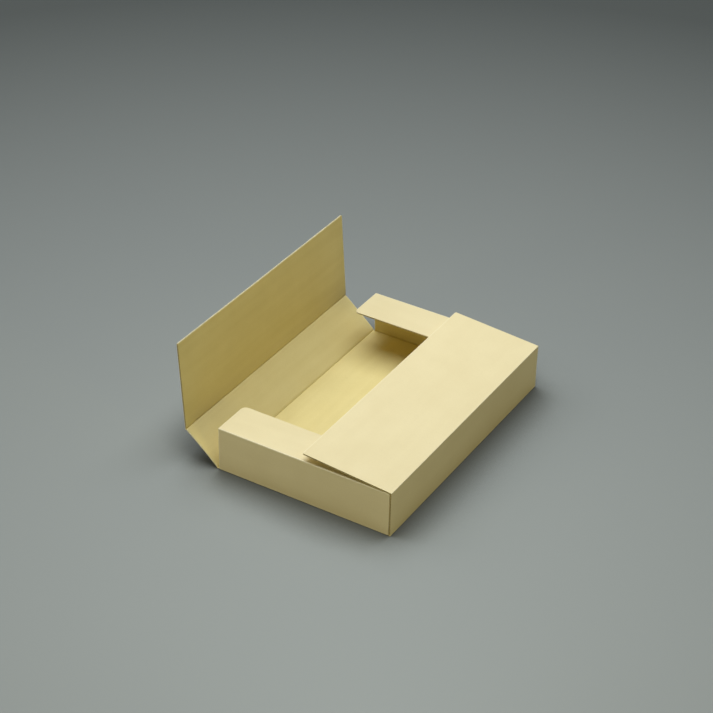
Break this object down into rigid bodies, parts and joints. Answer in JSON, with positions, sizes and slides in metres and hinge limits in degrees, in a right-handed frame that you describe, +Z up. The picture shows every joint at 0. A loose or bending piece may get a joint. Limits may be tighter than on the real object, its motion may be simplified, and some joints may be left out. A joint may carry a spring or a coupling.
{
  "type": "archival box",
  "caption": "Flat folding storage box of creased corrugated board: two side walls with half-width lids that meet in the middle, and two end walls with tuck-in flaps.",
  "frame": {"origin": "centre of the base's underside", "axes": "+Y along the box's long side, +Z up, +X towards the wall whose lid half is down"},
  "size_m": [0.248, 0.305, 0.1341],
  "materials": {
    "outer_liner": "matt cream paper",
    "inner_liner": "matt cream paper",
    "fluted_medium": "matt cream paper",
    "crease": "matt cream paper, crushed"
  },
  "bodies": {
    "base": {"base_outer_liner": "outer_liner", "base_fluted_medium": "fluted_medium", "base_inner_liner": "inner_liner", "left_base_crease": "crease", "right_base_crease": "crease", "near_base_crease": "crease", "far_base_crease": "crease"},
    "left_wall": {"left_wall_outer_liner": "outer_liner", "left_wall_fluted_medium": "fluted_medium", "left_wall_inner_liner": "inner_liner", "left_lid_crease": "crease"},
    "left_lid": {"left_lid_outer_liner": "outer_liner", "left_lid_fluted_medium": "fluted_medium", "left_lid_inner_liner": "inner_liner"},
    "right_wall": {"right_wall_outer_liner": "outer_liner", "right_wall_fluted_medium": "fluted_medium", "right_wall_inner_liner": "inner_liner", "right_lid_crease": "crease"},
    "right_lid": {"right_lid_outer_liner": "outer_liner", "right_lid_fluted_medium": "fluted_medium", "right_lid_inner_liner": "inner_liner"},
    "near_end_wall": {"near_end_wall_outer_liner": "outer_liner", "near_end_wall_fluted_medium": "fluted_medium", "near_end_wall_inner_liner": "inner_liner", "near_flap_crease": "crease"},
    "near_end_flap": {"near_end_flap_outer_liner": "outer_liner", "near_end_flap_fluted_medium": "fluted_medium", "near_end_flap_inner_liner": "inner_liner"},
    "far_end_wall": {"far_end_wall_outer_liner": "outer_liner", "far_end_wall_fluted_medium": "fluted_medium", "far_end_wall_inner_liner": "inner_liner", "far_flap_crease": "crease"},
    "far_end_flap": {"far_end_flap_outer_liner": "outer_liner", "far_end_flap_fluted_medium": "fluted_medium", "far_end_flap_inner_liner": "inner_liner"}
  },
  "joints": [
    {"name": "left_wall_fold", "type": "hinge", "parent": "base", "child": "left_wall", "pos_m": [-0.1007, 0, 0.0008], "axis": [0, 1, 0], "range_deg": [-41, 49]},
    {"name": "left_lid_fold", "type": "hinge", "parent": "left_wall", "child": "left_lid", "pos_m": [-0.13874, 0, 0.03386], "axis": [0, 1, 0], "range_deg": [-45, 45]},
    {"name": "right_wall_fold", "type": "hinge", "parent": "base", "child": "right_wall", "pos_m": [0.1007, 0, 0.0008], "axis": [0, -1, 0], "range_deg": [-90, 0]},
    {"name": "right_lid_fold", "type": "hinge", "parent": "right_wall", "child": "right_lid", "pos_m": [0.1007, 0, 0.0512], "axis": [0, -1, 0], "range_deg": [-85.7, 4.3]},
    {"name": "near_end_wall_fold", "type": "hinge", "parent": "base", "child": "near_end_wall", "pos_m": [0, -0.1517, 0.0008], "axis": [-1, 0, 0], "range_deg": [-90, 0]},
    {"name": "near_end_flap_fold", "type": "hinge", "parent": "near_end_wall", "child": "near_end_flap", "pos_m": [0, -0.1508, 0.0485], "axis": [-1, 0, 0], "range_deg": [0, 90]},
    {"name": "far_end_wall_fold", "type": "hinge", "parent": "base", "child": "far_end_wall", "pos_m": [0, 0.1517, 0.0008], "axis": [1, 0, 0], "range_deg": [-90, 0]},
    {"name": "far_end_flap_fold", "type": "hinge", "parent": "far_end_wall", "child": "far_end_flap", "pos_m": [0, 0.1508, 0.0485], "axis": [1, 0, 0], "range_deg": [0, 90]}
  ],
  "couplings": [
    {"joint": "near_end_flap_fold", "follows": "near_end_wall_fold", "ratio": -1},
    {"joint": "far_end_flap_fold", "follows": "far_end_wall_fold", "ratio": -1}
  ]
}
